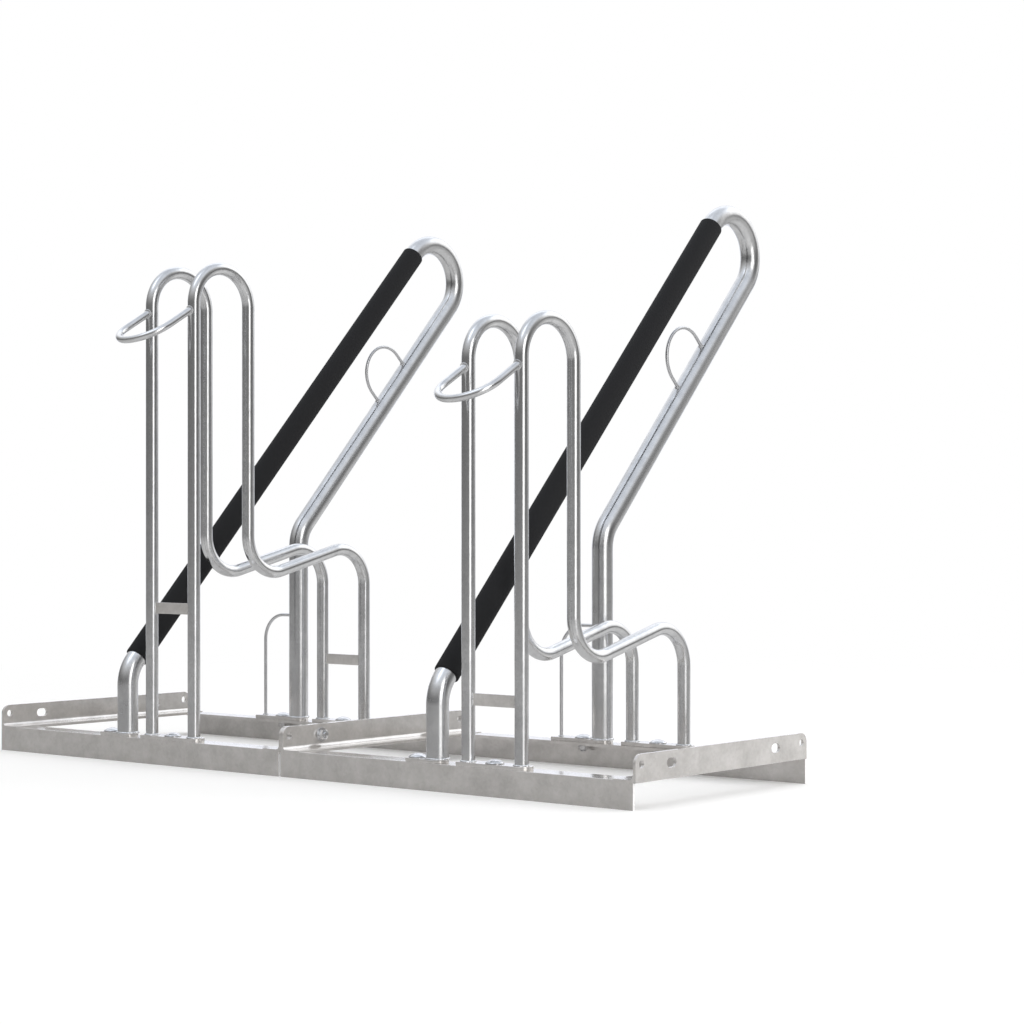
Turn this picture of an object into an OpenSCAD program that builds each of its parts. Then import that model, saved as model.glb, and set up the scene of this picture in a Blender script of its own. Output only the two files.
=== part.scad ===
// Floor rack for two bicycles: two bolted modules on steel angles. The left module holds
// its front wheel high and the right one low, so that the handlebars pass each other.
// X runs along the rack, +Y to its back, +Z up. The origin is on the floor, in the middle.

/* [Base] */
// Width of one module, outer bracket face to outer bracket face
module_w = 600; // [560:5:900]
// Depth of the base, front rail face to rear rail face
base_d = 384; // [360:2:480]
// Width of the steel angles' flanges and height of the brackets' legs
angle_w = 35; // [32:1:40]
// Height of the rails
rail_h = 36; // [34:0.5:40]
// Thickness of the steel angles
angle_t = 4; // [3:0.5:5]
// Outer corner radius of the steel angles
angle_corner_r = 1; // [0.5:0.5:3]
// Fillet inside the rails
rail_fillet_r = 2.5; // [1:0.5:3]
// Fillet inside the brackets
bracket_fillet_r = 5; // [2:0.5:5.5]
// How far the brackets' lower edges lie below the rails' top
bracket_lap = 3; // [1:0.5:3.5]
// Radius of the brackets' upper corners
bracket_corner_r = 12.5; // [8:0.5:14]

/* [Bracket holes] */
// Diameter of the round holes, which share the corners' centres
round_hole_d = 10; // [8:0.5:12]
// Length of the slots
slot_l = 20; // [16:1:26]
// Height of the slots
slot_h = 12; // [11:0.5:14]
// Distance from a bracket's end to the centre of its slot
slot_inset = 75; // [65:1:110]
// Depth of the slots' centre below the brackets' top edge
slot_drop = 15; // [13:0.5:16]

/* [Holder] */
// Diameter of the two holder tubes
holder_d = 18; // [16:0.5:20]
// Wall of the holder tubes
holder_wall = 2; // [1.5:0.25:3]
// Free width between the two holder tubes, where the tyre goes in
tyre_gap = 70; // [60:1:80]
// Distance from a module's left face to the middle of its tyre gap
holder_x = 367.5; // [355:0.5:380]
// Bend radius of the holder tubes, on their centre line
holder_bend_r = 53.5; // [48:0.5:60]
// Height of the front loop's centre line in the high module
loop_z = 712; // [680:1:760]
// Height of the corner behind the front loop, where its centre lines meet
valley_z = 259.5; // [240:0.5:290]
// Slope of the lower run that the tyre stands against
valley_slope = 14; // [10:0.5:18]
// How much lower the right module holds its wheel
low_drop = 103; // [80:1:105]

/* [Wheel hoop] */
// Diameter of the hoop's round bar
hoop_d = 10; // [8:0.5:12]
// Distance from the loop's top down to where the hoop meets the tubes' centre line
hoop_drop = 59; // [57:1:112]
// Straight length of the hoop's sides, from the tubes' centre line
hoop_side = 54; // [40:1:80]
// Slope of the hoop down to the front
hoop_slope = 30; // [15:1:40]

/* [Crossbars] */
// Height of the flat crossbars
crossbar_h = 16; // [12:1:20]
// Thickness of the flat crossbars
crossbar_t = 4; // [3:0.5:6]
// Height of the front crossbar's middle in the high module
front_crossbar_z = 224; // [190:1:400]
// Height of the rear crossbar's middle in the high module
rear_crossbar_z = 135; // [90:1:200]

/* [Lean bar] */
// Diameter of the lean bar's tube
lean_d = 30; // [28:0.5:32]
// Wall of the lean bar's tube
lean_wall = 2; // [1.5:0.25:3]
// Distance from the lean bar to the left holder tube, centre to centre
lean_to_holder = 52.5; // [49.5:0.5:61.5]
// Bend radius of the lean bar's lower bends, on its centre line
lean_bend_r = 53.5; // [48:0.5:62]
// Radius of the lean bar's upper turn, on its centre line
lean_turn_r = 60; // [55:0.5:65]
// Slope of the lean bar
lean_slope = 46.6; // [42:0.2:52]
// Height of the front lower corner, where the centre lines meet
lean_corner_z = 131.3; // [110:0.5:170]
// Length of the front slope between the points where its centre lines meet
lean_run = 973; // [900:1:1050]
// Outer diameter of the black sleeve on the front slope
sleeve_d = 35; // [34:0.5:38]
// Bare tube between the sleeve's ends and the bends
sleeve_inset = 4; // [2:0.5:10]

/* [Wires] */
// Diameter of the round wire of the lock eyelet and the lower loop
wire_d = 5; // [4:0.5:7]
// Distance from the rear lower corner up the rear slope to the eyelet's middle
eyelet_at = 327.5; // [220:1:420]
// Radius of the eyelet's turn, on its centre line
eyelet_r = 44; // [35:0.5:50]
// Distance from the lean bar's centre line to the eyelet's crown
eyelet_reach = 77; // [70:1:100]
// Distance from the lower loop's upright wire to the lean bar, centre to centre
loop_wire_to_lean = 73.5; // [66:0.5:86]
// Height of the lower loop's upper wire
loop_wire_z = 201; // [150:1:280]
// Bend radius of the lower loop
loop_wire_r = 40; // [30:1:45]

/* [Foot plates] */
// Width of the foot plates
foot_w = 30; // [30:0.5:33]
// Thickness of the foot plates
foot_t = 5; // [4:0.5:8]
// Plate left of the front bolt of the lean bar
lean_front_margin = 9; // [8:0.5:15]
// Plate beyond the lower loop's upright wire
lean_rear_margin = 7.5; // [6:0.5:12]
// Distance from the lean bar's centre to its foot bolts
lean_bolt_offset = 34; // [33:0.5:38]

/* [Fasteners] */
// Thread diameter of all bolts
bolt_d = 8; // [6:0.5:8.5]
// Clearance of the bolts in their holes, on the diameter
bolt_clearance = 1; // [0.5:0.25:1.5]
// Diameter of the foot bolts' domed heads
dome_d = 24.5; // [20:0.5:25]
// Height of the domed heads
dome_h = 5.5; // [4:0.5:7]
// Rim of the domed heads
dome_rim = 1.2; // [0.8:0.1:2]
// Width across flats of the hexagon heads and nuts
hex_w = 13; // [12:0.5:14]
// Height of the hexagon heads
hex_head_h = 5.3; // [4:0.1:6.5]
// Height of the nuts
hex_nut_h = 6.5; // [5:0.1:7]
// Diameter of the washers under the rails
washer_d = 16; // [15:0.5:17]
// Thickness of all washers
washer_t = 1.6; // [1:0.1:2]
// Bolt that stands past its nut
bolt_end = 2; // [1:0.5:4]
// Diameter of the washers of the two bolts that join the modules
joint_washer_d = 20; // [18:0.5:21]

/* [Hidden] */

$fn = 64;
// Overrun of all cuts
cut = 1;
// Gap at the coped and slid-on round faces
weld_gap = 0.1;
// Seams between the straight runs and the bends of a bar, and the collars that bridge them
seam_gap = 0.05;
collar_l = 0.5;
collar_share = 0.8;
seam_depth_share = 0.5;
groove_depth_share = 0.2;

zinc = "#a9adb1";
rubber = "#2a2b2d";
bolt_zinc = "#8b8f93";

// Heights of the base
bracket_z = rail_h - bracket_lap;
bracket_top = bracket_z + angle_w;
flange_z = rail_h - angle_t;
foot_top = rail_h + foot_t;

// Places across a module
holder_spacing = tyre_gap + holder_d;
holder_left_x = holder_x - holder_spacing / 2;
holder_right_x = holder_x + holder_spacing / 2;
lean_x = holder_left_x - lean_to_holder;
loop_wire_x = lean_x - loop_wire_to_lean;
lean_bolt_x = lean_x - lean_bolt_offset;
foot_r = foot_w / 2;

// Places along the depth: the posts stand on the middle of the foot plates
front_y = foot_r;
rear_y = base_d - foot_r;
loop_back_y = front_y + 2 * holder_bend_r;

// Corners of the lean bar's centre line, as depth and height
lean_along = [cos(lean_slope), sin(lean_slope)];
lean_across = [sin(lean_slope), -cos(lean_slope)];
lean_corner = [front_y, lean_corner_z];
lean_top = lean_corner + lean_run * lean_along;
lean_top_back = lean_top + 2 * lean_turn_r * lean_across;
lean_back_run = (lean_top_back[0] - rear_y) / cos(lean_slope);
lean_back_corner = lean_top_back - lean_back_run * lean_along;
lean_path = [
  [front_y, foot_top], lean_corner, lean_top, lean_top_back, lean_back_corner,
  [rear_y, foot_top]
];
lean_bends = [lean_bend_r, lean_turn_r, lean_turn_r, lean_bend_r];
lean_bend_cut = lean_bend_r * tan((90 - lean_slope) / 2);
eyelet_middle = lean_back_corner + eyelet_at * lean_along;

// Where the upper turn reaches furthest back, and the hoop furthest to the front
turn_centre_y = lean_top[0] - lean_turn_r * cos(lean_slope) + lean_turn_r * sin(lean_slope);
back_edge_y = turn_centre_y + lean_turn_r + lean_d / 2;
hoop_r = holder_spacing / 2;
hoop_reach = hoop_side + hoop_r;
front_edge_y = front_y - hoop_reach * cos(hoop_slope) - hoop_d / 2;
middle_y = (front_edge_y + back_edge_y) / 2;

// Bracket slots and the bolts in them
slot_z = bracket_top - slot_drop;
slot_ys = [slot_inset, base_d - slot_inset];
round_ys = [bracket_corner_r, base_d - bracket_corner_r];
round_z = bracket_top - bracket_corner_r;

bolt_hole_d = bolt_d + bolt_clearance;
foot_bolt_xs = [lean_bolt_x, holder_x];

// One vector of length one along another
function unit(v) = v / norm(v);

// How far a bend of radius r starts before the corner b of the line a, b, c
function bend_start(a, b, c, r) =
  r * tan(acos(unit(b - a) * unit(c - b)) / 2);

// How far the straight run beside corner i of a path ends before that corner
function run_end(path, bends, i) =
  i == 0 || i == len(path) - 1 ? 0
  : bend_start(path[i - 1], path[i], path[i + 1], bends[i - 1]);

// A straight round bar between two points of the drawing plane
module straight_bar(a, b, r) {
  translate([a[0], a[1], 0])
    rotate([0, 90, atan2(b[1] - a[1], b[0] - a[0])])
      cylinder(h = norm(b - a), r = r);
}

// The bend of a round bar at corner b of the line a, b, c
module bar_bend(a, b, c, bend_r, r) {
  way_in = unit(b - a);
  way_out = unit(c - b);
  turn = cross(way_in, way_out) > 0 ? 1 : -1;
  sweep = acos(way_in * way_out);
  start = b - way_in * bend_start(a, b, c, bend_r);
  centre = start + turn * bend_r * [-way_in[1], way_in[0]];
  start_angle = atan2(start[1] - centre[1], start[0] - centre[0]);
  translate([centre[0], centre[1], 0])
    rotate([0, 0, turn > 0 ? start_angle : start_angle - sweep])
      rotate_extrude(angle = sweep)
        translate([bend_r, 0])
          circle(r);
}

// A round bar along a line of corners, each rounded with its own radius. The straight
// runs end a hair before the bends, and a collar of radius collar_r bridges each seam.
module bent_bar(path, bends, r, collar_r) {
  last = len(path) - 1;
  for (i = [1 : last - 1])
    bar_bend(path[i - 1], path[i], path[i + 1], bends[i - 1], r);
  for (i = [0 : last - 1]) {
    way = unit(path[i + 1] - path[i]);
    start = path[i] + way * run_end(path, bends, i);
    end = path[i + 1] - way * run_end(path, bends, i + 1);
    start_gap = i == 0 ? 0 : seam_gap;
    end_gap = i == last - 1 ? 0 : seam_gap;
    if (norm(end - start) > 2 * collar_l)
      straight_bar(start + way * start_gap, end - way * end_gap, r);
    if (i > 0)
      straight_bar(start - way * collar_l, start + way * collar_l, collar_r);
    if (i < last - 1 && norm(end - start) > 2 * collar_l)
      straight_bar(end - way * collar_l, end + way * collar_l, collar_r);
  }
}

// A solid round bar, with its collars inside it
module bent_rod(path, bends, r) {
  bent_bar(path, bends, r, r * collar_share);
}

// A tube that is open at both ends, with its seams' collars inside its wall
module bent_tube(path, bends, r, wall) {
  last = len(path) - 1;
  bore_path = [
    for (i = [0 : last])
      i == 0 ? path[0] - cut * unit(path[1] - path[0])
      : i == last ? path[last] + cut * unit(path[last] - path[last - 1])
      : path[i]
  ];
  difference() {
    bent_bar(path, bends, r, r - wall * seam_depth_share);
    bent_bar(bore_path, bends, r - wall, r - wall * (1 - groove_depth_share));
  }
}

// Stands the drawing plane up across the rack: its x becomes depth, its y height
module side_plane(x) {
  translate([x, 0, 0])
    rotate([90, 0, 90])
      children();
}

// Stands the drawing plane up along the rack: its x stays, its y becomes height
module front_plane(y) {
  translate([0, y, 0])
    rotate([90, 0, 0])
      children();
}

// The two modules' places, with the whole rack centred over the origin
module high() {
  translate([-module_w, -middle_y, 0])
    children();
}

module low() {
  translate([0, -middle_y, 0])
    children();
}

// The section of a steel angle: a leg up the y axis and a flange at its top
module angle_section(leg_h, fillet_r) {
  difference() {
    union() {
      square([angle_t, leg_h]);
      translate([0, leg_h - angle_t])
        square([angle_w, angle_t]);
      translate([angle_t, leg_h - angle_t - fillet_r])
        square([fillet_r, fillet_r]);
    }
    translate([angle_t + fillet_r, leg_h - angle_t - fillet_r])
      circle(fillet_r);
    difference() {
      translate([-cut, leg_h - angle_corner_r])
        square([angle_corner_r + cut, angle_corner_r + cut]);
      translate([angle_corner_r, leg_h - angle_corner_r])
        circle(angle_corner_r);
    }
  }
}

// What a rail loses at its left end, where a bracket's flange lies on its leg
module rail_cope() {
  translate([-cut, -cut, bracket_z])
    cube([angle_w + cut, angle_w + 2 * cut, rail_h]);
  translate([-cut, angle_t, flange_z - rail_fillet_r - cut])
    cube([angle_w + cut, angle_w, rail_h]);
}

// A rail from start_x on, shorter than the module by the thickness of one bracket
module rail(start_x) {
  color(zinc)
    difference() {
      side_plane(start_x)
        linear_extrude(height = module_w - angle_t)
          angle_section(rail_h, rail_fillet_r);
      rail_cope();
      translate([module_w, 0, 0])
        mirror([1, 0, 0])
          rail_cope();
      for (x = foot_bolt_xs)
        translate([x, front_y, flange_z - cut])
          cylinder(h = angle_t + 2 * cut, d = bolt_hole_d);
    }
}

// Turns a front piece into its rear twin
module rear_side() {
  translate([0, base_d, 0])
    mirror([0, 1, 0])
      children();
}

// What a bracket's upper corner loses at depth 0
module bracket_corner_cut() {
  difference() {
    translate([-cut, -cut, bracket_top - bracket_corner_r])
      cube([angle_t + 2 * cut, bracket_corner_r + cut, bracket_corner_r + cut]);
    translate([-2 * cut, bracket_corner_r, bracket_top - bracket_corner_r])
      rotate([0, 90, 0])
        cylinder(h = angle_t + 4 * cut, r = bracket_corner_r);
  }
}

// The left side bracket: its flange lies on the rails' legs, between their flanges' ends
module bracket() {
  color(zinc)
    difference() {
      translate([0, base_d, bracket_top])
        rotate([90, 0, 0])
          linear_extrude(height = base_d)
            mirror([0, 1])
              angle_section(angle_w, bracket_fillet_r);
      bracket_corner_cut();
      rear_side()
        bracket_corner_cut();
      for (y = round_ys)
        translate([-cut, y, round_z])
          rotate([0, 90, 0])
            cylinder(h = angle_t + 2 * cut, d = round_hole_d);
      for (y = slot_ys)
        bracket_slot(y);
    }
}

module bracket_slot(y) {
  half = (slot_l - slot_h) / 2;
  translate([-cut, y - half, slot_z - slot_h / 2])
    cube([angle_t + 2 * cut, 2 * half, slot_h]);
  for (side = [-1, 1])
    translate([-cut, y + side * half, slot_z])
      rotate([0, 90, 0])
        cylinder(h = angle_t + 2 * cut, d = slot_h);
}

module right_bracket() {
  translate([module_w, 0, 0])
    mirror([1, 0, 0])
      bracket();
}

module lean_bar() {
  color(zinc)
    side_plane(lean_x)
      bent_tube(lean_path, lean_bends, lean_d / 2, lean_wall);
}

// The black sleeve, slid over the front slope
module lean_sleeve() {
  start = lean_corner + (lean_bend_cut + sleeve_inset) * lean_along;
  end = lean_top - (lean_turn_r + sleeve_inset) * lean_along;
  color(rubber)
    side_plane(lean_x)
      difference() {
        straight_bar(start, end, sleeve_d / 2);
        straight_bar(start - cut * lean_along, end + cut * lean_along,
                     lean_d / 2 + weld_gap);
      }
}

// A flat foot plate from left_x to a round right end about right_x, on the front rail
module foot_plate(left_x, right_x, bolt_x) {
  color(zinc)
    difference() {
      union() {
        translate([left_x, 0, rail_h])
          cube([right_x - left_x, foot_w, foot_t]);
        translate([right_x, foot_r, rail_h])
          cylinder(h = foot_t, r = foot_r);
      }
      translate([bolt_x, foot_r, rail_h - cut])
        cylinder(h = foot_t + 2 * cut, d = bolt_hole_d);
    }
}

module lean_front_foot() {
  foot_plate(lean_bolt_x - lean_front_margin, lean_x, lean_bolt_x);
}

module lean_rear_foot() {
  rear_side()
    foot_plate(loop_wire_x - lean_rear_margin, lean_x, lean_bolt_x);
}

module holder_front_foot() {
  foot_plate(holder_left_x - holder_d / 2, holder_right_x, holder_x);
}

module holder_rear_foot() {
  rear_side()
    holder_front_foot();
}

// The lock eyelet: a wire staple on the upper side of the rear slope
module lean_eyelet() {
  path = [[-eyelet_r, 0], [-eyelet_r, eyelet_reach], [eyelet_r, eyelet_reach], [eyelet_r, 0]];
  color(zinc)
    side_plane(lean_x)
      translate([eyelet_middle[0], eyelet_middle[1], 0])
        rotate([0, 0, lean_slope])
          difference() {
            bent_rod(path, [eyelet_r, eyelet_r], wire_d / 2);
            straight_bar([-2 * eyelet_r, 0], [2 * eyelet_r, 0], lean_d / 2 + weld_gap);
          }
}

// The lower loop: a bent wire from the rear foot plate to the lean bar's rear post
module lower_wire_loop() {
  path = [[loop_wire_x, foot_top], [loop_wire_x, loop_wire_z], [lean_x, loop_wire_z]];
  color(zinc)
    difference() {
      front_plane(rear_y)
        bent_rod(path, [loop_wire_r], wire_d / 2);
      translate([lean_x, rear_y, foot_top])
        cylinder(h = loop_wire_z, d = lean_d + 2 * weld_gap);
    }
}

// One holder tube: front loop, valley, sloping run and rear post
module holder_tube(x, drop) {
  loop_top = loop_z - drop;
  valley = valley_z - drop;
  crest = valley + (rear_y - loop_back_y) * tan(valley_slope);
  path = [
    [front_y, foot_top], [front_y, loop_top], [loop_back_y, loop_top],
    [loop_back_y, valley], [rear_y, crest], [rear_y, foot_top]
  ];
  bends = [holder_bend_r, holder_bend_r, holder_bend_r, holder_bend_r];
  color(zinc)
    side_plane(x)
      bent_tube(path, bends, holder_d / 2, holder_wall);
}

// Both posts of a holder, as what its crossbars and hoop are coped to
module holder_posts(y, drop) {
  for (x = [holder_left_x, holder_right_x])
    translate([x, y, foot_top])
      cylinder(h = loop_z - drop - foot_top, d = holder_d + 2 * weld_gap);
}

// The U-shaped hoop before the tyre, coped to the front posts
module wheel_hoop(drop) {
  path = [[-hoop_r, 0], [-hoop_r, -hoop_reach], [hoop_r, -hoop_reach], [hoop_r, 0]];
  color(zinc)
    difference() {
      translate([holder_x, front_y, loop_z - hoop_drop - drop])
        rotate([hoop_slope, 0, 0])
          bent_rod(path, [hoop_r, hoop_r], hoop_d / 2);
      holder_posts(front_y, drop);
      translate([holder_left_x - holder_d / 2, front_y, foot_top])
        cube([holder_spacing + holder_d, hoop_d, loop_z]);
    }
}

// A flat bar between the two posts at depth y
module crossbar(y, z) {
  color(zinc)
    difference() {
      translate([holder_left_x, y - crossbar_t / 2, z - crossbar_h / 2])
        cube([holder_spacing, crossbar_t, crossbar_h]);
      holder_posts(y, 0);
    }
}

// A hexagon prism that stands on z = 0
module hexagon(across, h) {
  cylinder(h = h, d = across / cos(30), $fn = 6);
}

module domed_bolt() {
  cap_h = dome_h - dome_rim;
  cap_r = (pow(dome_d / 2, 2) + pow(cap_h, 2)) / (2 * cap_h);
  cylinder(h = dome_rim, d = dome_d);
  intersection() {
    translate([0, 0, dome_h - cap_r])
      sphere(r = cap_r);
    cylinder(h = dome_h, d = dome_d);
  }
  shank = foot_t + angle_t + washer_t + hex_nut_h + bolt_end;
  translate([0, 0, -shank])
    cylinder(h = shank, d = bolt_d);
}

module washer(outer, hole, h) {
  difference() {
    cylinder(h = h, d = outer);
    translate([0, 0, -cut])
      cylinder(h = h + 2 * cut, d = hole);
  }
}

// A nut whose bore leaves the bolt free by the weld gap
module nut(across, thread, h) {
  difference() {
    hexagon(across, h);
    translate([0, 0, -cut])
      cylinder(h = h + 2 * cut, d = thread + 2 * weld_gap);
  }
}

// The eight places of the foot bolts, at height z
module at_foot_bolts(z) {
  for (module_x = [-module_w, 0])
    for (x = foot_bolt_xs)
      for (y = [front_y, rear_y])
        translate([module_x + x, y - middle_y, z])
          children();
}

module foot_bolts() {
  color(bolt_zinc)
    at_foot_bolts(foot_top)
      domed_bolt();
}

module foot_washers() {
  color(bolt_zinc)
    at_foot_bolts(flange_z - washer_t)
      washer(washer_d, bolt_hole_d, washer_t);
}

module foot_nuts() {
  color(bolt_zinc)
    at_foot_bolts(flange_z - washer_t - hex_nut_h)
      nut(hex_w, bolt_d, hex_nut_h);
}

// The two places of the joint bolts, with the z axis along the rack
module at_joint_bolts(x) {
  for (y = slot_ys)
    translate([x, y - middle_y, slot_z])
      rotate([0, 90, 0])
        children();
}

module joint_bolts() {
  head_x = -angle_t - washer_t - hex_head_h;
  shank = 2 * angle_t + 2 * washer_t + hex_nut_h + bolt_end;
  color(bolt_zinc)
    at_joint_bolts(head_x) {
      hexagon(hex_w, hex_head_h);
      translate([0, 0, hex_head_h])
        cylinder(h = shank, d = bolt_d);
    }
}

module joint_washers() {
  color(bolt_zinc)
    for (x = [-angle_t - washer_t, angle_t])
      at_joint_bolts(x)
        washer(joint_washer_d, bolt_hole_d, washer_t);
}

module joint_nuts() {
  color(bolt_zinc)
    at_joint_bolts(angle_t + washer_t)
      nut(hex_w, bolt_d, hex_nut_h);
}

// The high module, left of the joint
high() rail(0);  // high_front_rail
high() rear_side() rail(angle_t);  // high_rear_rail
high() bracket();  // high_left_bracket
high() right_bracket();  // high_right_bracket
high() lean_bar();  // high_lean_bar
high() lean_sleeve();  // high_lean_sleeve
high() lean_front_foot();  // high_lean_front_foot
high() lean_rear_foot();  // high_lean_rear_foot
high() lean_eyelet();  // high_lean_eyelet
high() lower_wire_loop();  // high_lower_wire_loop
high() holder_tube(holder_left_x, 0);  // high_holder_left_tube
high() holder_tube(holder_right_x, 0);  // high_holder_right_tube
high() holder_front_foot();  // high_holder_front_foot
high() holder_rear_foot();  // high_holder_rear_foot
high() wheel_hoop(0);  // high_wheel_hoop
high() crossbar(front_y, front_crossbar_z);  // high_front_crossbar
high() crossbar(rear_y, rear_crossbar_z);  // high_rear_crossbar

// The low module, right of the joint
low() rail(0);  // low_front_rail
low() rear_side() rail(angle_t);  // low_rear_rail
low() bracket();  // low_left_bracket
low() right_bracket();  // low_right_bracket
low() lean_bar();  // low_lean_bar
low() lean_sleeve();  // low_lean_sleeve
low() lean_front_foot();  // low_lean_front_foot
low() lean_rear_foot();  // low_lean_rear_foot
low() lean_eyelet();  // low_lean_eyelet
low() lower_wire_loop();  // low_lower_wire_loop
low() holder_tube(holder_left_x, low_drop);  // low_holder_left_tube
low() holder_tube(holder_right_x, low_drop);  // low_holder_right_tube
low() holder_front_foot();  // low_holder_front_foot
low() holder_rear_foot();  // low_holder_rear_foot
low() wheel_hoop(low_drop);  // low_wheel_hoop
low() crossbar(front_y, front_crossbar_z - low_drop);  // low_front_crossbar

// What holds the feet and the two modules together
foot_bolts();
foot_washers();
foot_nuts();
joint_bolts();
joint_washers();
joint_nuts();
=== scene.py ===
import math

import bmesh
import bpy
import numpy as np
from bpy.props import FloatProperty, FloatVectorProperty, PointerProperty
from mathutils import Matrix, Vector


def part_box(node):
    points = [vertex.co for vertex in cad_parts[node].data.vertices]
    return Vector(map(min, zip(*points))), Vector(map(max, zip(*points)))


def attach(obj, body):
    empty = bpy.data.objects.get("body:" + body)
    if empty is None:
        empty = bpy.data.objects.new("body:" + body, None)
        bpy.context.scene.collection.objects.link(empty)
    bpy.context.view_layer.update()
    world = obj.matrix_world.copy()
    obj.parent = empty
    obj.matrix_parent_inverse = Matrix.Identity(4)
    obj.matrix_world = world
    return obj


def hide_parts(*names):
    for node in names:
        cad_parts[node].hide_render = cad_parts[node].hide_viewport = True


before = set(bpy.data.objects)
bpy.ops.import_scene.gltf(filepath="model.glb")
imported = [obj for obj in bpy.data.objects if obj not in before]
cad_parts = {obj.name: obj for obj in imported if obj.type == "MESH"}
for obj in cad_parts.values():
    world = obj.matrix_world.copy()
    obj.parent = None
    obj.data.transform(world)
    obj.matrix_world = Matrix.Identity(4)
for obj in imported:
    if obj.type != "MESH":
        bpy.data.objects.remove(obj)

bl_info = {
    "name": "Floor bike rack",
    "version": (1, 0, 0),
    "blender": (4, 5, 0),
    "location": "3D View > Sidebar > Bike Rack",
    "description": "Dresses the CAD model of a galvanised floor bike rack",
    "category": "Add Mesh",
}

MM = 0.001
MODULES = ("high", "low")
SIDES = ("left", "right")
UP = np.array((0, 0, 1.0))

# Points that are nearer to each other than this are one point
SAME_POINT = 1e-7

# The base, as the CAD has it: its front and rear faces, the top of its foot plates, and the two rows of posts
FRONT_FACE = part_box("high_front_rail")[0].y
REAR_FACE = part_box("high_rear_rail")[1].y
FOOT_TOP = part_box("high_holder_front_foot")[1].z
POST_INSET = 15 * MM
FRONT_Y = FRONT_FACE + POST_INSET
REAR_Y = REAR_FACE - POST_INSET

# Holder tubes: radii of section and bends, drop from the loop's corners to the valley's, and slope of the
# run behind
HOLDER_R = 9 * MM
HOLDER_BEND = 53.5 * MM
HOLDER_DROP = 452.5 * MM
VALLEY_SLOPE = math.radians(14)

# Lean bars: radii of section, lower bends and turn at the top, then slope, height and length of the front
# slope
LEAN_R = 15 * MM
LEAN_BEND = 53.5 * MM
LEAN_TURN = 60 * MM
LEAN_SLOPE = math.radians(46.6)
LEAN_START = 131.3 * MM
LEAN_LENGTH = 973 * MM

# Sleeves: outer radius, gap to the bends at both ends, and radius of the rounded rims
SLEEVE_R = 17.5 * MM
SLEEVE_GAP = 4 * MM
SLEEVE_RIM = 1.2 * MM

# Wheel hoops: section, straight side, slope, drop below the loop's corners, and depth of the ends inside
# the tubes
HOOP_R = 5 * MM
HOOP_SIDE = 54 * MM
HOOP_SLOPE = math.radians(30)
HOOP_DROP = 59 * MM
HOOP_SINK = 1.5 * MM

# Wires: section, depth of their ends inside the bars, place, bend and reach of the eyelets, and bend of the
# low loops
WIRE_R = 2.5 * MM
WIRE_SINK = 1 * MM
EYELET_PLACE = 327.5 * MM
EYELET_TURN = 44 * MM
EYELET_REACH = 77 * MM
WIRE_BEND = 40 * MM

# Bolts, washers and nuts, and how far the bolts stand from the lean bars and from the base's faces
BOLT_R = 4 * MM
THREAD_PITCH = 1.25 * MM
HEX_WIDTH = 13 * MM
HEAD_H = 5.3 * MM
NUT_H = 6.5 * MM
NUT_HOLE_R = 4.1 * MM
WASHER_H = 1.6 * MM
WASHER_HOLE_R = 4.5 * MM
FOOT_WASHER_R = 8 * MM
JOINT_WASHER_R = 10 * MM
DOME_R = 12.25 * MM
DOME_H = 5.5 * MM
DOME_RIM = 1.2 * MM
LEAN_BOLT_APART = 34 * MM
JOINT_BOLT_INSET = 75 * MM

# Hexagons: the top circle's share of the half width, the slope of the cone, and the depth of a nut's
# funnels as a share of its hole's radius
HEX_TOP = 0.96
HEX_CONE = math.radians(30)
HEX_FUNNEL = 0.08

# Weld beads: sides of the section, points and ripples round a foot and round a bar's end, and the ripples'
# pitch on a straight seam
BEAD_SIDES = 14
FOOT_SEAM = 120
FOOT_RIPPLES = 34
BAR_SEAM = 72
BAR_RIPPLES = 20
RIPPLE_PITCH = 1.6 * MM

# Round parts with an upright axis have this many sides, and edges sharper than this angle stay sharp
ROUND_SIDES = 48
SHARP_ANGLE = math.radians(35)

# In a copy of a CAD node, points nearer than this are one, faces that turn by less than the first angle are
# one, and edges that turn by more than the second are rounded
MERGE_REACH = 0.001 * MM
FLAT_ANGLE = math.radians(0.5)
EDGE_ANGLE = math.radians(40)


# Places that follow from the boxes of the CAD nodes

def middle_x(node):
    """Halfway between a node's left and right ends."""
    low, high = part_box(node)
    return (low.x + high.x) / 2


def holder_x(module, side):
    """A holder tube's place along the rack."""
    return middle_x(f"{module}_holder_{side}_tube")


def lean_x(module):
    """A lean bar's place along the rack."""
    return middle_x(f"{module}_lean_bar")


def holder_corners(module):
    """Corners of a holder tube's centre line, as depth and height: up the front post, over the loop, down
    to the valley, up the sloping run and down the rear post."""
    loop_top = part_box(f"{module}_holder_left_tube")[1].z - HOLDER_R
    valley = loop_top - HOLDER_DROP
    loop_back = FRONT_Y + 2 * HOLDER_BEND
    crest = valley + (REAR_Y - loop_back) * math.tan(VALLEY_SLOPE)
    return np.array([
        (FRONT_Y, FOOT_TOP), (FRONT_Y, loop_top), (loop_back, loop_top),
        (loop_back, valley), (REAR_Y, crest), (REAR_Y, FOOT_TOP)])


def lean_corners():
    """Corners of a lean bar's centre line, as depth and height: the front post, the front slope, the turn
    at its top, the rear slope under it and the rear post."""
    along = np.array((math.cos(LEAN_SLOPE), math.sin(LEAN_SLOPE)))
    across = np.array((math.sin(LEAN_SLOPE), -math.cos(LEAN_SLOPE)))
    front = np.array((FRONT_Y, LEAN_START))
    top = front + LEAN_LENGTH * along
    top_back = top + 2 * LEAN_TURN * across
    back = top_back - (top_back[0] - REAR_Y) / math.cos(LEAN_SLOPE) * along
    return np.array([(FRONT_Y, FOOT_TOP), front, top, top_back, back, (REAR_Y, FOOT_TOP)])


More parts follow.
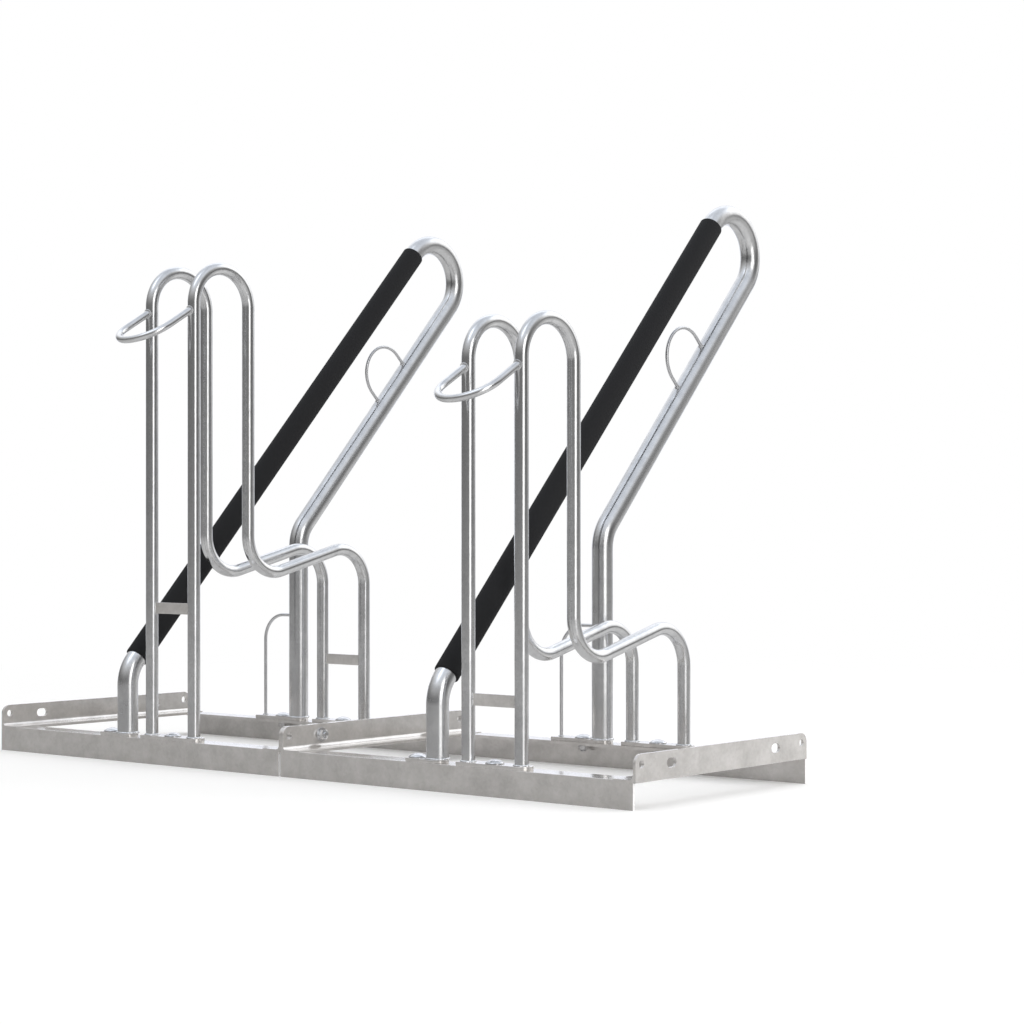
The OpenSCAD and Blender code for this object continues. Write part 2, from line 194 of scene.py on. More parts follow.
def hoop_line(module):
    """Where a wheel hoop leaves its posts: the height, and the way of its sides, down and forward at the
    slope."""
    height = holder_corners(module)[1][1] - HOOP_DROP
    return height, np.array((0, -math.cos(HOOP_SLOPE), -math.sin(HOOP_SLOPE)))


def eyelet_place(module):
    """An eyelet's plane: its zero point on the rear slope, and the ways along the slope and off it."""
    along = np.array((math.cos(LEAN_SLOPE), math.sin(LEAN_SLOPE)))
    middle = lean_corners()[4] + EYELET_PLACE * along
    return (lean_x(module), *middle), (0, *along), (0, -along[1], along[0])


def foot_bolt_places(z):
    """Centres of the eight foot bolts at one height."""
    places = []
    for module in MODULES:
        middle = (holder_x(module, "left") + holder_x(module, "right")) / 2
        for x in (lean_x(module) - LEAN_BOLT_APART, middle):
            places += [(x, FRONT_Y, z), (x, REAR_Y, z)]
    return places


# Shapes: each is a pair of points and faces, where a triangle repeats its last corner

def full_turn(count):
    """Evenly spaced angles, all the way round."""
    return np.linspace(0, 2 * math.pi, count, endpoint=False)


def merged(shells):
    """One shell from several: the points end to end, and the faces' numbers moved up by the points before
    them."""
    points, faces, count = [], [], 0
    for shell_points, shell_faces in shells:
        points.append(shell_points)
        faces.append(shell_faces + count)
        count += len(shell_points)
    return np.concatenate(points), np.concatenate(faces)


def ring_faces(rings, sides, closed=False):
    """Four-cornered faces between each ring and the next, and between each side and the next, all the way
    round."""
    ring = np.arange(rings if closed else rings - 1)[:, None]
    side = np.arange(sides)[None, :]
    after = (ring + 1) % rings
    beside = (side + 1) % sides
    corners = [ring * sides + side, ring * sides + beside, after * sides + beside, after * sides + side]
    return np.stack(corners, -1).reshape(-1, 4)


def lofted(rings):
    """A closed shell through rings of points: faces between neighbours, and a fan to the middle of each end
    ring."""
    count, sides = rings.shape[:2]
    points = np.concatenate([rings.reshape(-1, 3), rings[:1].mean(1), rings[-1:].mean(1)])
    side = np.arange(sides)
    beside = (side + 1) % sides
    last_ring = (count - 1) * sides
    start = np.stack([np.full(sides, count * sides), beside, side, side], -1)
    outer, next_outer = last_ring + side, last_ring + beside
    end = np.stack([np.full(sides, count * sides + 1), outer, next_outer, next_outer], -1)
    return points, np.concatenate([ring_faces(count, sides), start, end])


def wound(rings):
    """A closed shell through rings of points that come back to the first ring."""
    count, sides = rings.shape[:2]
    return rings.reshape(-1, 3), ring_faces(count, sides, closed=True)


def bent_line(corners, bends, step=math.radians(3)):
    """Points and directions of a line in a plane whose corners are arcs. An arc starts its radius times the
    tangent of half its turn before the corner, and runs round a centre that lies one radius to the side it
    turns to."""
    ways = np.diff(corners, axis=0)
    ways /= np.linalg.norm(ways, axis=1)[:, None]
    points, tangents = [corners[:1]], [ways[:1]]
    for i, bend in enumerate(bends):
        into, out = ways[i], ways[i + 1]
        turn = math.atan2(into[0] * out[1] - into[1] * out[0], float(into @ out))
        side = math.copysign(1, turn) * np.array((-into[1], into[0]))
        centre = corners[i + 1] - into * bend * math.tan(abs(turn) / 2) + bend * side
        angle = np.linspace(0, abs(turn), max(2, int(abs(turn) / step) + 1))[:, None]
        points.append(centre + bend * (np.sin(angle) * into - np.cos(angle) * side))
        tangents.append(np.cos(angle) * into + np.sin(angle) * side)
    points = np.concatenate([*points, corners[-1:]])
    tangents = np.concatenate([*tangents, ways[-1:]])
    apart = np.append(True, np.linalg.norm(np.diff(points, axis=0), axis=1) > SAME_POINT)
    return points[apart], tangents[apart]


def swept(points, tangents, place, radius, sides):
    """A round bar along a line in a plane: each ring is the line's point, plus the radius times the cosine
    along the line's normal and the sine across the plane. place holds the plane's zero point and its two
    axes."""
    zero, first, second = (np.asarray(v, float) for v in place)
    across = np.cross(first, second)
    angle = full_turn(sides)[:, None]
    radius = np.broadcast_to(radius, len(points))[:, None, None]
    normal = tangents[:, 1:] * -first + tangents[:, :1] * second
    middle = zero + points[:, :1] * first + points[:, 1:] * second
    return lofted(middle[:, None] + radius * (np.cos(angle) * normal[:, None] + np.sin(angle) * across))


def side_plane(x):
    """The plane across the rack at x, whose axes are depth and height."""
    return (x, 0, 0), (0, 1, 0), (0, 0, 1)


def circle_ways(count):
    """Unit ways from an upright axis, all the way round."""
    angle = full_turn(count)
    return np.stack([np.cos(angle), np.sin(angle), np.zeros(count)], -1)


def turned(profile, centres):
    """Turned parts: the profile's radius at each height, carried round the upright axis through each
    centre."""
    radii, heights = (np.asarray(v)[:, None, None] for v in profile)
    rings = radii * circle_ways(ROUND_SIDES) + heights * UP
    return merged([lofted(rings + np.asarray(centre, float)) for centre in centres])


def laid_along_x(shell):
    """The shell with its upright axis turned to point along the rack."""
    points, faces = shell
    return np.stack([points[:, 2], points[:, 1], -points[:, 0]], -1), faces


def upside_down(shell, height=0):
    """The shell with each point's height taken from the given one."""
    points, faces = shell
    return points * (1, 1, -1) + height * UP, faces


def moved(shell, centres):
    """Copies of the shell at each centre."""
    points, faces = shell
    return merged([(points + np.asarray(centre, float), faces) for centre in centres])


def hexagon(height, hole_r=0.0):
    """A hexagon head or nut: its radius at each angle is half the width over the cosine of the angle from
    the nearest flat's middle, and a cone cuts its corners at the top and, on a nut, at the bottom. A nut's
    hole is funnelled."""
    angle = np.radians(np.arange(0, 360, 3))
    off_middle = np.abs((angle + math.pi / 6) % (math.pi / 3) - math.pi / 6)
    edge = HEX_WIDTH / 2 / np.cos(off_middle)
    top = HEX_WIDTH / 2 * HEX_TOP
    fall = (edge - top) * math.tan(HEX_CONE)
    ways = np.stack([np.cos(angle), np.sin(angle)], -1)

    def ring(radius, z):
        radius = np.broadcast_to(radius, edge.shape)
        return np.concatenate([ways * radius[:, None], np.broadcast_to(z, edge.shape)[:, None]], -1)

    outside = [ring(edge, height - fall), ring(top, height)]
    if not hole_r:
        return lofted(np.stack([ring(edge, 0), *outside]))
    funnel = hole_r * HEX_FUNNEL
    wide = hole_r + funnel
    inside = [ring(wide, height), ring(hole_r, height - funnel), ring(hole_r, funnel), ring(wide, 0)]
    return wound(np.stack([ring(top, 0), ring(edge, fall), *outside, *inside]))


def ring_washer(outer, edge=0.15 * MM):
    """A washer: a rectangle with small cut corners outside, carried round the axis."""
    radii = np.array([WASHER_HOLE_R, outer - edge, outer, outer, outer - edge, WASHER_HOLE_R])
    heights = np.array([0, 0, edge, WASHER_H - edge, WASHER_H, WASHER_H])
    return wound(radii[:, None, None] * circle_ways(ROUND_SIDES) + heights[:, None, None] * UP)


def threaded(length):
    """A screw's shank: at each height and angle the radius falls by a triangle wave of the height over the
    pitch less the angle over a full turn, so that the crests climb round it. The thread runs out at the
    tip, which is smaller."""
    rows_per_turn, sides = 6, 36
    thread_depth = 0.55 * THREAD_PITCH
    tip_cut = 0.3 * THREAD_PITCH
    run_out = THREAD_PITCH / 4
    rows = max(2, int(length / THREAD_PITCH * rows_per_turn)) + 1
    z = np.linspace(0, length, rows)[:, None]
    angle = full_turn(sides)[None, :]
    wave = np.abs(((z / THREAD_PITCH - angle / (2 * math.pi)) % 1) * 2 - 1)
    depth = thread_depth * np.clip((length - z) / run_out, 0, 1)
    r = BOLT_R - depth * wave - tip_cut * (z > length - SAME_POINT)
    return lofted(np.stack([r * np.cos(angle), r * np.sin(angle), np.broadcast_to(z, r.shape)], -1))


def dome_profile():
    """Radii and heights of a bolt's low dome: a short rim with cut edges, and over it an arc whose radius
    is the sum of the squares of the dome's radius and rise over twice the rise."""
    low_cut, high_cut, pole = 0.3 * MM, 0.4 * MM, 0.2 * MM
    rise = DOME_H - DOME_RIM
    ball = (DOME_R ** 2 + rise ** 2) / (2 * rise)
    fall = np.linspace(math.asin((DOME_R - high_cut) / ball), 0, 12)[:-1]
    radii = np.concatenate([[DOME_R - low_cut, DOME_R, DOME_R], ball * np.sin(fall), [pole]])
    rim = [0, low_cut, DOME_RIM - high_cut / 2]
    return radii, np.concatenate([rim, ball * np.cos(fall) - ball + DOME_H, [DOME_H]])


def sleeve_profile(length):
    """Radii of a sleeve and their places along it: out from the bar, a quarter circle at each rim, and
    straight."""
    turn = np.linspace(0, math.pi / 2, 6)
    radii = np.concatenate([[LEAN_R], SLEEVE_R - SLEEVE_RIM * (1 - np.sin(turn))])
    places = np.concatenate([[0], SLEEVE_RIM * (1 - np.cos(turn))])
    return np.concatenate([radii, radii[::-1]]), np.concatenate([places, length - places[::-1]])


def bead(curve, out, up, size, ripples):
    """A weld bead round a closed seam: a circle about each point of the seam, in the plane of its two
    outward ways. Its radius is the size times one plus three sines of the way along the seam: the ripples,
    and two slow ones that make it uneven."""
    along = full_turn(len(curve))
    swell = 1 + 0.10 * np.sin(ripples * along)
    swell += 0.08 * np.sin(3 * along + 1) + 0.05 * np.sin(5 * along + 2)
    angle = full_turn(BEAD_SIDES)[:, None]
    circle = np.cos(angle) * out[:, None] + np.sin(angle) * up[:, None]
    return wound(curve[:, None] + size * swell[:, None, None] * circle)


def foot_bead(x, y, radius, size):
    """The weld round a post's foot: the seam is the post's circle on the plate."""
    out = circle_ways(FOOT_SEAM)
    seam = np.array((x, y, FOOT_TOP)) + radius * out
    return bead(seam, out, np.broadcast_to(UP, out.shape), size, FOOT_RIPPLES)


def joint_bead(start, way, bar_r, axis_point, axis_way, tube_r, size):
    """The weld where a round bar meets a tube: a line along the bar from each point of its circle is
    followed to where its distance from the tube's axis is the tube's radius, which is the nearer root of a
    square equation. Both ways have length one."""
    side = np.cross(way, axis_way)
    side /= np.linalg.norm(side)
    angle = full_turn(BAR_SEAM)[:, None]
    out = np.cos(angle) * side + np.sin(angle) * np.cross(way, side)
    circle = start + bar_r * out - axis_point
    flat = circle - (circle @ axis_way)[:, None] * axis_way
    slope = way - (way @ axis_way) * axis_way
    a, b, c = slope @ slope, 2 * flat @ slope, (flat ** 2).sum(1) - tube_r ** 2
    reach = (-b - np.sqrt(np.maximum(b * b - 4 * a * c, 0))) / (2 * a)
    curve = start + bar_r * out + reach[:, None] * way
    from_axis = curve - axis_point
    from_axis -= (from_axis @ axis_way)[:, None] * axis_way
    up = from_axis / np.linalg.norm(from_axis, axis=1)[:, None]
    return bead(curve, out, up, size, BAR_RIPPLES)


def upright_bead(x, y, low_z, high_z, size):
    """A short weld up a straight seam: its radius is the size, less nearly all of it times the fifth power
    of the distance from the middle, and a sine of the height gives it ripples. The rings stand closer
    towards the ends."""
    rings, end_fall, ripple_share = 40, 0.98, 0.12
    t = (1 - np.cos(np.linspace(0, math.pi, rings))) / 2
    length = high_z - low_z
    ripple = 1 + ripple_share * np.sin(t * length / RIPPLE_PITCH * 2 * math.pi)
    radius = size * (1 - np.abs(2 * t - 1) ** 5 * end_fall) * ripple
    middle = np.array((x, y, low_z)) + (t * length)[:, None] * UP
    return lofted(middle[:, None] + radius[:, None, None] * circle_ways(BEAD_SIDES))


# Objects

def new_object(name, mesh, nodes):
    """An object with smooth faces that rides on the rack and stands for the given CAD nodes, which it hides.
    """
    mesh.polygons.foreach_set("use_smooth", np.ones(len(mesh.polygons), bool))
    piece = bpy.data.objects.new(name, mesh)
    bpy.context.scene.collection.objects.link(piece)
    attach(piece, "root")
    if nodes:
        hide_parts(*nodes)
    return piece


def new_piece(name, shell, finish, nodes):
    """A piece made of one shell, smooth but for its sharp edges."""
    points, faces = shell
    mesh = bpy.data.meshes.new(name)
    mesh.from_pydata(points, [], [f if f[2] != f[3] else f[:3] for f in faces.tolist()])
    mesh.update()
    bm = bmesh.new()
    bm.from_mesh(mesh)
    bmesh.ops.recalc_face_normals(bm, faces=bm.faces)
    bm.to_mesh(mesh)
    bm.free()
    mesh.materials.append(finish)
    piece = new_object(name, mesh, nodes)
    mesh.set_sharp_from_angle(angle=SHARP_ANGLE)
    return piece


def soft_copy(node, finish, softness, painted_end_finish=None):
    """A CAD node with its sharp edges rounded: its triangles are merged into flat faces and then bevelled.
    Each point's normal is the one of the largest face beside it, so that flat faces are shaded flat. The
    faces at its left and right end may have a finish of their own: a paler matte grey that paints the light
    falling on the rails' ends."""
    bm = bmesh.new()
    bm.from_mesh(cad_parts[node].data)
    bmesh.ops.remove_doubles(bm, verts=bm.verts, dist=MERGE_REACH)
    bmesh.ops.dissolve_limit(bm, angle_limit=FLAT_ANGLE, verts=bm.verts, edges=bm.edges)
    mesh = bpy.data.meshes.new("soft_" + node)
    bm.to_mesh(mesh)
    bm.free()
    mesh.materials.clear()
    mesh.materials.append(finish)
    # The second finish is painted light: a paler grey on the end faces for the light that falls on them
    if painted_end_finish:
        mesh.materials.append(painted_end_finish)
        ends = [corner.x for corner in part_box(node)]
        end_reach, square_on = 0.1 * MM, 0.99
        for face in mesh.polygons:
            at_end = min(abs(face.center.x - end) for end in ends) < end_reach
            face.material_index = int(at_end and abs(face.normal.x) > square_on)
    piece = new_object("soft_" + node, mesh, [node])
    edge = piece.modifiers.new("Edges", "BEVEL")
    edge.width = softness
    edge.segments = 2
    edge.limit_method = "ANGLE"
    edge.angle_limit = EDGE_ANGLE
    flat = piece.modifiers.new("Flat Faces", "WEIGHTED_NORMAL")
    flat.mode = "FACE_AREA"
    flat.weight = 100
    flat.keep_sharp = True
    return piece


# Nodes of materials and of the world

# Where a Mix node has its first colour or value, and its result
MIX_SOCKETS = {"FLOAT": (2, 0), "RGBA": (6, 2)}


def add_node(tree, kind, **values):
    """A new node with the given settings."""
    node = tree.nodes.new(kind)
    for name, value in values.items():
        setattr(node, name, value)
    return node


def feed(tree, socket, value):
    """Links another node's output to a socket, or sets the socket's own value."""
    if isinstance(value, bpy.types.NodeSocket):
        tree.links.new(value, socket)
    else:
        socket.default_value = value


def math_node(tree, operation, *values, clamp=False):
    """The result of a Math node."""
    node = add_node(tree, "ShaderNodeMath", operation=operation, use_clamp=clamp)
    for socket, value in zip(node.inputs, values):
        feed(tree, socket, value)
    return node.outputs[0]


def mixed(tree, kind, share, first, second, blend="MIX"):
    """A blend of two colours or values by the second one's share."""
    node = add_node(tree, "ShaderNodeMix", data_type=kind, blend_type=blend)
    start, result = MIX_SOCKETS[kind]
    feed(tree, node.inputs["Factor"], share)
    feed(tree, node.inputs[start], first)
    feed(tree, node.inputs[start + 1], second)
    return node.outputs[result]


def mixed_shader(tree, share, first, second):
    """A blend of two shaders by the second one's share."""
    node = add_node(tree, "ShaderNodeMixShader")
    for socket, value in zip(node.inputs, (share, first, second)):
        feed(tree, socket, value)
    return node.outputs[0]


def add_noise(tree, detail, roughness):
    """A noise texture, whose place and scale are given afterwards."""
    texture = add_node(tree, "ShaderNodeTexNoise")
    texture.inputs["Detail"].default_value = detail
    texture.inputs["Roughness"].default_value = roughness
    return texture


def grey(brightness):
    """A grey as a colour."""
    return (brightness, brightness, brightness, 1)


def add_relief(tree, height, strength, distance):
    """Gives a material's surface a bump of the height that a texture puts out."""
    bump = add_node(tree, "ShaderNodeBump")
    bump.inputs["Strength"].default_value = strength
    bump.inputs["Distance"].default_value = distance
    tree.links.new(height, bump.inputs["Height"])
    tree.links.new(bump.outputs["Normal"], tree.nodes["Principled BSDF"].inputs["Normal"])


def soft_step(tree, value, start, end):
    """A mask that rises smoothly from nothing at one value to full at another."""
    step = add_node(tree, "ShaderNodeMapRange", interpolation_type="SMOOTHSTEP")
    step.inputs["From Min"].default_value = start
    step.inputs["From Max"].default_value = end
    tree.links.new(value, step.inputs["Value"])
    return step.outputs[0]


def patch(tree, way, azimuth, elevation, inner, outer):
    """A round soft-edged mask about one way: a way's share of it is the cosine of the angle between them."""
    turn, rise = math.radians(azimuth), math.radians(elevation)
    share = add_node(tree, "ShaderNodeVectorMath", operation="DOT_PRODUCT")
    tree.links.new(way, share.inputs[0])
    share.inputs[1].default_value = (
        math.cos(turn) * math.cos(rise), math.sin(turn) * math.cos(rise), math.sin(rise))
    edge, full = math.cos(math.radians(outer)), math.cos(math.radians(inner))
    return soft_step(tree, share.outputs["Value"], edge, full)


def ray_masks(tree):
    """Two masks: one for rays from the camera, and one for rays that a glossy or clear surface sends on."""
    ray = add_node(tree, "ShaderNodeLightPath").outputs
    mirrored = math_node(tree, "ADD", ray["Is Glossy Ray"], ray["Is Transmission Ray"], clamp=True)
    return ray["Is Camera Ray"], mirrored


# Finishes

# The sockets of the zinc's node group
ZINC_SOCKETS = (
    ("INPUT", "NodeSocketFloat", ("Clouds", "Crystals", "Flecks", "Smooth", "Dull")),
    ("INPUT", "NodeSocketColor", ("Light", "Dark")),
    ("OUTPUT", "NodeSocketColor", ("Colour",)),
    ("OUTPUT", "NodeSocketFloat", ("Roughness", "Height")))

# What clouds, crystals and flecks each add to the mottle, how clouds and flecks are stretched in contrast, as
# a factor and an offset, and what flecks add to the relief
CLOUD_SHARE, CRYSTAL_SHARE, FLECK_SHARE = 0.55, 0.2, 0.25
CLOUD_STRETCH = (2.6, -0.8)
FLECK_STRETCH = (1.6, -0.3)
FLECK_RELIEF = 0.12

# The floor: its grey to the eye and in the metal, its own glow, the colour, roughness and refraction of its
# sheen, the distances between which it turns white, and what that white loses in the metal
FLOOR_GREY = 0.88
FLOOR_GREY_MIRRORED = 0.46
FLOOR_GLOW = 0.18
SHEEN_GREY = 0.9
SHEEN_ROUGHNESS = 0.18
SHEEN_INDEX = 1.5
FLOOR_FADE = (1.2, 2.4)
WHITE_LOSS = 0.5


def zinc_group():
    """The look of hot-dip zinc: soft clouds, faint crystals and fine flecks, on object coordinates. Clouds
    and flecks are stretched in contrast, and the three are added by their shares and blend dark into light
    and dull into smooth."""
    name = "Zinc Mottle"
    if name in bpy.data.node_groups:
        return bpy.data.node_groups[name]
    tree = bpy.data.node_groups.new(name, "ShaderNodeTree")
    for in_out, kind, sockets in ZINC_SOCKETS:
        for socket in sockets:
            tree.interface.new_socket(name=socket, in_out=in_out, socket_type=kind)
    given = add_node(tree, "NodeGroupInput").outputs
    result = add_node(tree, "NodeGroupOutput").inputs
    place = add_node(tree, "ShaderNodeTexCoord").outputs["Object"]

    clouds = add_noise(tree, detail=4, roughness=0.6)
    crystals = add_node(tree, "ShaderNodeTexVoronoi")
    flecks = add_noise(tree, detail=3, roughness=0.7)
    for texture, scale in ((clouds, "Clouds"), (crystals, "Crystals"), (flecks, "Flecks")):
        tree.links.new(place, texture.inputs["Vector"])
        tree.links.new(given[scale], texture.inputs["Scale"])
    crystal = add_node(tree, "ShaderNodeSeparateColor")
    tree.links.new(crystals.outputs["Color"], crystal.inputs[0])

    cloud = math_node(tree, "MULTIPLY_ADD", clouds.outputs["Fac"], *CLOUD_STRETCH, clamp=True)
    fleck = math_node(tree, "MULTIPLY_ADD", flecks.outputs["Fac"], *FLECK_STRETCH, clamp=True)
    blend = math_node(tree, "MULTIPLY", cloud, CLOUD_SHARE)
    blend = math_node(tree, "MULTIPLY_ADD", crystal.outputs[0], CRYSTAL_SHARE, blend)
    blend = math_node(tree, "MULTIPLY_ADD", fleck, FLECK_SHARE, blend, clamp=True)
    height = math_node(tree, "MULTIPLY_ADD", flecks.outputs["Fac"], FLECK_RELIEF, clouds.outputs["Fac"])
    tree.links.new(mixed(tree, "RGBA", blend, given["Dark"], given["Light"]), result["Colour"])
    tree.links.new(mixed(tree, "FLOAT", blend, given["Dull"], given["Smooth"]), result["Roughness"])
    tree.links.new(height, result["Height"])
    return tree


def zinc(name, light, dark, smooth, dull, metallic, clouds, crystals, flecks, relief):
    """A zinc finish: its two greys, the roughness of its light and dark spots, its share of bare metal, the
    scales of its mottle and the height of its relief."""
    if name in bpy.data.materials:
        return bpy.data.materials[name]
    material = bpy.data.materials.new(name)
    material.use_nodes = True
    tree = material.node_tree
    shader = tree.nodes["Principled BSDF"]
    mottle = add_node(tree, "ShaderNodeGroup", node_tree=zinc_group())
    for socket, value in (("Clouds", clouds), ("Crystals", crystals), ("Flecks", flecks), ("Smooth", smooth),
                          ("Dull", dull), ("Light", (*light, 1)), ("Dark", (*dark, 1))):
        mottle.inputs[socket].default_value = value
    tree.links.new(mottle.outputs["Colour"], shader.inputs["Base Color"])
    tree.links.new(mottle.outputs["Roughness"], shader.inputs["Roughness"])
    add_relief(tree, mottle.outputs["Height"], 1.0, relief)
    shader.inputs["Metallic"].default_value = metallic
    return material


def angle_finish(settings):
    """Dull, cloudy zinc of the angles, plates and crossbars."""
    return zinc("Dull Zinc", settings.angle_light, settings.angle_dark, smooth=0.10, dull=0.21, metallic=0.7,
                clouds=32, crystals=260, flecks=1000, relief=0.08 * MM)


def lit_end_finish(settings):
    """Matte zinc of the rails' sawn ends, painted paler to stand for the light that falls on them."""
    return zinc("Sawn Zinc", settings.lit_end_light, settings.lit_end_dark, smooth=0.35, dull=0.5, metallic=0.0,
                clouds=90, crystals=260, flecks=1000, relief=0.08 * MM)


def tube_finish(settings):
    """Bright zinc of the holder tubes, hoops and welds."""
    return zinc("Bright Zinc", settings.tube_light, settings.tube_dark, smooth=0.15, dull=0.24, metallic=1.0,
                clouds=40, crystals=220, flecks=1100, relief=0.04 * MM)


def lean_finish(settings):
    """The tubes' zinc, a little rougher and flatter, on the lean bars."""
    return zinc("Dipped Zinc", settings.tube_light, settings.tube_dark, smooth=0.20, dull=0.29, metallic=1.0,
                clouds=45, crystals=220, flecks=1100, relief=0.02 * MM)


def wire_finish(settings):
    """Soft, even zinc of the thin wires."""
    return zinc("Drawn Zinc", settings.wire_light, settings.wire_dark, smooth=0.32, dull=0.40, metallic=1.0,
                clouds=40, crystals=220, flecks=1100, relief=0.01 * MM)


def bolt_finish(settings):
    """Fine-grained plating of bolts, washers and nuts."""
    return zinc("Plated Zinc", settings.bolt_light, settings.bolt_dark, smooth=0.14, dull=0.24, metallic=1.0,
                clouds=160, crystals=500, flecks=1800, relief=0.03 * MM)


def sleeve_finish(settings):
    """Matte black rubber with a fine grain."""
    name = "Black Sleeve"
    if name in bpy.data.materials:
        return bpy.data.materials[name]
    material = bpy.data.materials.new(name)
    material.use_nodes = True
    tree = material.node_tree
    shader = tree.nodes["Principled BSDF"]
    shader.inputs["Base Color"].default_value = (*settings.sleeve_color, 1)
    shader.inputs["Roughness"].default_value = 0.75
    shader.inputs["Specular IOR Level"].default_value = 0.3
    grain = add_noise(tree, detail=3, roughness=0.5)
    grain.inputs["Scale"].default_value = 1500
    tree.links.new(add_node(tree, "ShaderNodeTexCoord").outputs["Object"], grain.inputs["Vector"])
    add_relief(tree, grain.outputs["Fac"], 0.6, 0.2 * MM)
    return material


def floor_finish():
    """A white floor, paler to the eye than in the metal, with a sheen at flat angles that only the metal
    sees. Far from the rack it turns into the plain white round it."""
    material = bpy.data.materials.new("White Floor")
    material.use_nodes = True
    tree = material.node_tree
    tree.nodes.remove(tree.nodes["Principled BSDF"])
    camera, mirrored = ray_masks(tree)
    seen = math_node(tree, "ADD", camera, mirrored, clamp=True)

    matte = add_node(tree, "ShaderNodeBsdfDiffuse")
    paint = mixed(tree, "RGBA", mirrored, grey(FLOOR_GREY), grey(FLOOR_GREY_MIRRORED))
    tree.links.new(paint, matte.inputs["Color"])
    glow = add_node(tree, "ShaderNodeEmission")
    tree.links.new(math_node(tree, "MULTIPLY", seen, FLOOR_GLOW), glow.inputs["Strength"])
    both = add_node(tree, "ShaderNodeAddShader")
    tree.links.new(matte.outputs[0], both.inputs[0])
    tree.links.new(glow.outputs[0], both.inputs[1])
    sheen = add_node(tree, "ShaderNodeBsdfAnisotropic")
    sheen.inputs["Color"].default_value = grey(SHEEN_GREY)
    sheen.inputs["Roughness"].default_value = SHEEN_ROUGHNESS
    slant = add_node(tree, "ShaderNodeFresnel")
    slant.inputs["IOR"].default_value = SHEEN_INDEX
    sheen_share = math_node(tree, "MULTIPLY", slant.outputs[0], mirrored)
    near = mixed_shader(tree, sheen_share, both.outputs[0], sheen.outputs[0])

    distance = add_node(tree, "ShaderNodeVectorMath", operation="LENGTH")
    tree.links.new(add_node(tree, "ShaderNodeTexCoord").outputs["Object"], distance.inputs[0])
    fade = soft_step(tree, distance.outputs["Value"], *FLOOR_FADE)
    white = add_node(tree, "ShaderNodeEmission")
    tree.links.new(math_node(tree, "MULTIPLY_ADD", mirrored, -WHITE_LOSS, 1.0), white.inputs["Strength"])
    whole = mixed_shader(tree, math_node(tree, "MULTIPLY", fade, seen), near, white.outputs[0])
    tree.links.new(whole, tree.nodes["Material Output"].inputs["Surface"])
    return material


# What a user may change

COLOUR = {"size": 3, "min": 0, "max": 1, "subtype": "COLOR"}
LAMP = {"default": 38.0, "min": 0, "max": 1000, "unit": "POWER"}


class RackSettings(bpy.types.PropertyGroup):
    """Sizes and colours of the dressed rack"""

    edge_softness: FloatProperty(
        name="Edge Softness", description="Width of the rounded edges of angles and plates",
        default=0.6 * MM, min=0.1 * MM, max=1.2 * MM, unit="LENGTH")
    foot_bead: FloatProperty(
        name="Foot Weld", description="Radius of the weld beads round the posts' feet",
        default=1.8 * MM, min=0.5 * MM, max=4 * MM, unit="LENGTH")
    bar_bead: FloatProperty(
        name="Bar Weld", description="Radius of the weld beads at bars and wires",
        default=1.6 * MM, min=0.5 * MM, max=3 * MM, unit="LENGTH")
    angle_light: FloatVectorProperty(
        name="Angle Light Grey", description="Lighter grey of the angles' dull zinc",
        default=(0.955, 0.928, 0.898), **COLOUR)
    angle_dark: FloatVectorProperty(
        name="Angle Dark Grey", description="Darker grey of the angles' dull zinc",
        default=(0.645, 0.623, 0.598), **COLOUR)
    # Painted light: the two greys of the rails' end faces are paler to stand for the light that falls on them
    lit_end_light: FloatVectorProperty(
        name="Lit End Light Grey", description="Lighter grey of the rails' sawn ends",
        default=(1.0, 0.995, 0.99), **COLOUR)
    lit_end_dark: FloatVectorProperty(
        name="Lit End Dark Grey", description="Darker grey of the rails' sawn ends",
        default=(0.92, 0.915, 0.91), **COLOUR)
    tube_light: FloatVectorProperty(
        name="Tube Light Grey", description="Lighter grey of the tubes' bright zinc",
        default=(0.86, 0.86, 0.86), **COLOUR)
    tube_dark: FloatVectorProperty(
        name="Tube Dark Grey", description="Darker grey of the tubes' bright zinc",
        default=(0.62, 0.62, 0.625), **COLOUR)
    wire_light: FloatVectorProperty(
        name="Wire Light Grey", description="Lighter grey of the thin wires",
        default=(0.78, 0.78, 0.785), **COLOUR)
    wire_dark: FloatVectorProperty(
        name="Wire Dark Grey", description="Darker grey of the thin wires",
        default=(0.66, 0.66, 0.67), **COLOUR)
    bolt_light: FloatVectorProperty(
        name="Bolt Light Grey", description="Lighter grey of the plated fasteners",
        default=(0.80, 0.80, 0.80), **COLOUR)
    bolt_dark: FloatVectorProperty(
        name="Bolt Dark Grey", description="Darker grey of the plated fasteners",
        default=(0.60, 0.60, 0.61), **COLOUR)
    sleeve_color: FloatVectorProperty(
        name="Sleeve Black", description="Colour of the sleeves on the lean bars",
        default=(0.012, 0.012, 0.013), **COLOUR)
    key_power: FloatProperty(
        name="Key Lamp", description="Power of the tall soft lamp at the right", **LAMP)
    fill_power: FloatProperty(
        name="Fill Lamp", description="Power of the soft lamp at the right that metal doesn't mirror",
        **LAMP)


class RACK_OT_holder_tubes(bpy.types.Operator):
    """Pairs of bent holder tubes"""

    bl_idname = "rack.holder_tubes"
    bl_label = "Holder Tubes"

    def execute(self, context):
        finish = tube_finish(context.scene.rack)
        for module in MODULES:
            line = bent_line(holder_corners(module), [HOLDER_BEND] * 4)
            for side in SIDES:
                shell = swept(*line, side_plane(holder_x(module, side)), HOLDER_R, sides=48)
                node = f"{module}_holder_{side}_tube"
                new_piece(f"{module}_{side}_holder", shell, finish, [node])
        return {"FINISHED"}


